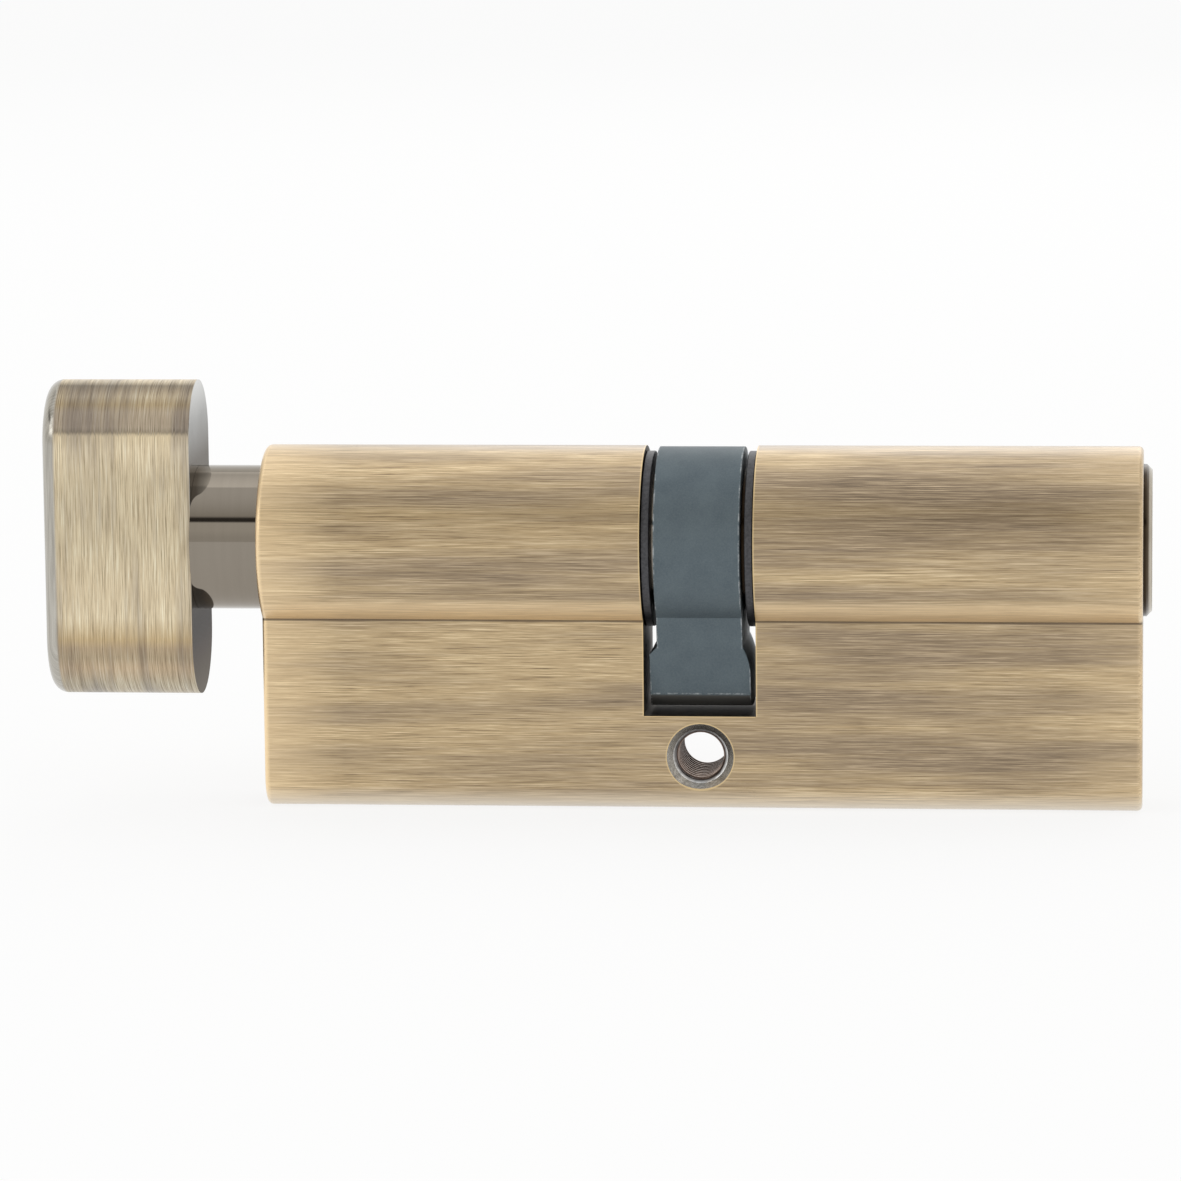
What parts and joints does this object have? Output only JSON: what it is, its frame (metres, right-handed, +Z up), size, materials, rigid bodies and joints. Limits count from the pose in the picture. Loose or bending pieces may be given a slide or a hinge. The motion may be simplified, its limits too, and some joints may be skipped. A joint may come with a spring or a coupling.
{
  "type": "thumb turn euro cylinder",
  "caption": "Euro profile door lock cylinder with a keyed plug at one end, a turning knob on a stem at the other and a rotating cam lever in its middle slot.",
  "frame": {"origin": "middle of the fixing screw's hole, halfway through the web, below the middle of the cam", "axes": "+X along the barrel towards the key end, -X towards the knob; +Y through the web along the fixing screw's hole, away from the viewer; +Z up from the web to the barrel"},
  "size_m": [0.1008, 0.017, 0.039],
  "materials": {
    "antique_brass": "brushed antique brass",
    "antique_knob": "brushed antique brass",
    "blackened_steel": "satin blackened steel",
    "dark_nickel": "polished dark nickel",
    "nickel_brass": "satin nickel",
    "ring_steel": "dark spring steel",
    "screw_steel": "blackened steel",
    "dog_steel": "bright steel",
    "driver_steel": "bright steel",
    "spring_steel": "bright spring wire",
    "pin_brass": "bright brass"
  },
  "bodies": {
    "housing": {"housing": "antique_brass", "chamber_cap_1": "antique_brass", "chamber_cap_2": "antique_brass", "chamber_cap_3": "antique_brass", "chamber_cap_4": "antique_brass", "chamber_cap_5": "antique_brass", "pin_spring_1": "spring_steel", "pin_spring_2": "spring_steel", "pin_spring_3": "spring_steel", "pin_spring_4": "spring_steel", "pin_spring_5": "spring_steel"},
    "turn": {"turn_spindle": "dark_nickel", "turn_retaining_ring": "ring_steel", "knob": "antique_knob", "knob_grub_screw": "screw_steel", "dog_spring": "spring_steel"},
    "cam": {"cam": "blackened_steel"},
    "drive_dog": {"drive_dog": "dog_steel"},
    "plug": {"key_plug": "nickel_brass", "key_retaining_ring": "ring_steel"},
    "key_pin_1": {"key_pin_1": "pin_brass"},
    "driver_pin_1": {"driver_pin_1": "driver_steel"},
    "key_pin_2": {"key_pin_2": "pin_brass"},
    "driver_pin_2": {"driver_pin_2": "driver_steel"},
    "key_pin_3": {"key_pin_3": "pin_brass"},
    "driver_pin_3": {"driver_pin_3": "driver_steel"},
    "key_pin_4": {"key_pin_4": "pin_brass"},
    "driver_pin_4": {"driver_pin_4": "driver_steel"},
    "key_pin_5": {"key_pin_5": "pin_brass"},
    "driver_pin_5": {"driver_pin_5": "driver_steel"}
  },
  "joints": [
    {"name": "turn_spin", "type": "hinge", "parent": "housing", "child": "turn", "pos_m": [0, 0, 0.01935], "axis": [1, 0, 0], "continuous": true},
    {"name": "cam_spin", "type": "hinge", "parent": "housing", "child": "cam", "pos_m": [0, 0, 0.01935], "axis": [1, 0, 0], "continuous": true},
    {"name": "plug_spin", "type": "hinge", "parent": "housing", "child": "plug", "pos_m": [0, 0, 0.01935], "axis": [1, 0, 0], "continuous": true},
    {"name": "dog_slide", "type": "slide", "parent": "turn", "child": "drive_dog", "axis": [1, 0, 0], "range_m": [-0.0022, 0], "stiffness_N_per_m": 250, "springref_m": 0.002, "deforming": ["dog_spring"]},
    {"name": "key_pin_1_slide", "type": "slide", "parent": "plug", "child": "key_pin_1", "axis": [0, 0, 1], "range_m": [0, 0.0027]},
    {"name": "driver_pin_1_slide", "type": "slide", "parent": "housing", "child": "driver_pin_1", "axis": [0, 0, 1], "range_m": [-0.003, 0], "stiffness_N_per_m": 150, "springref_m": 0.003, "deforming": ["pin_spring_1"]},
    {"name": "key_pin_2_slide", "type": "slide", "parent": "plug", "child": "key_pin_2", "axis": [0, 0, 1], "range_m": [0, 0.0015]},
    {"name": "driver_pin_2_slide", "type": "slide", "parent": "housing", "child": "driver_pin_2", "axis": [0, 0, 1], "range_m": [-0.003, 0], "stiffness_N_per_m": 150, "springref_m": 0.003, "deforming": ["pin_spring_2"]},
    {"name": "key_pin_3_slide", "type": "slide", "parent": "plug", "child": "key_pin_3", "axis": [0, 0, 1], "range_m": [0, 0.0021]},
    {"name": "driver_pin_3_slide", "type": "slide", "parent": "housing", "child": "driver_pin_3", "axis": [0, 0, 1], "range_m": [-0.003, 0], "stiffness_N_per_m": 150, "springref_m": 0.003, "deforming": ["pin_spring_3"]},
    {"name": "key_pin_4_slide", "type": "slide", "parent": "plug", "child": "key_pin_4", "axis": [0, 0, 1], "range_m": [0, 0.0011]},
    {"name": "driver_pin_4_slide", "type": "slide", "parent": "housing", "child": "driver_pin_4", "axis": [0, 0, 1], "range_m": [-0.003, 0], "stiffness_N_per_m": 150, "springref_m": 0.003, "deforming": ["pin_spring_4"]},
    {"name": "key_pin_5_slide", "type": "slide", "parent": "plug", "child": "key_pin_5", "axis": [0, 0, 1], "range_m": [0, 0.0029]},
    {"name": "driver_pin_5_slide", "type": "slide", "parent": "housing", "child": "driver_pin_5", "axis": [0, 0, 1], "range_m": [-0.003, 0], "stiffness_N_per_m": 150, "springref_m": 0.003, "deforming": ["pin_spring_5"]}
  ],
  "couplings": [
    {"joint": "cam_spin", "follows": "turn_spin", "ratio": 1}
  ]
}
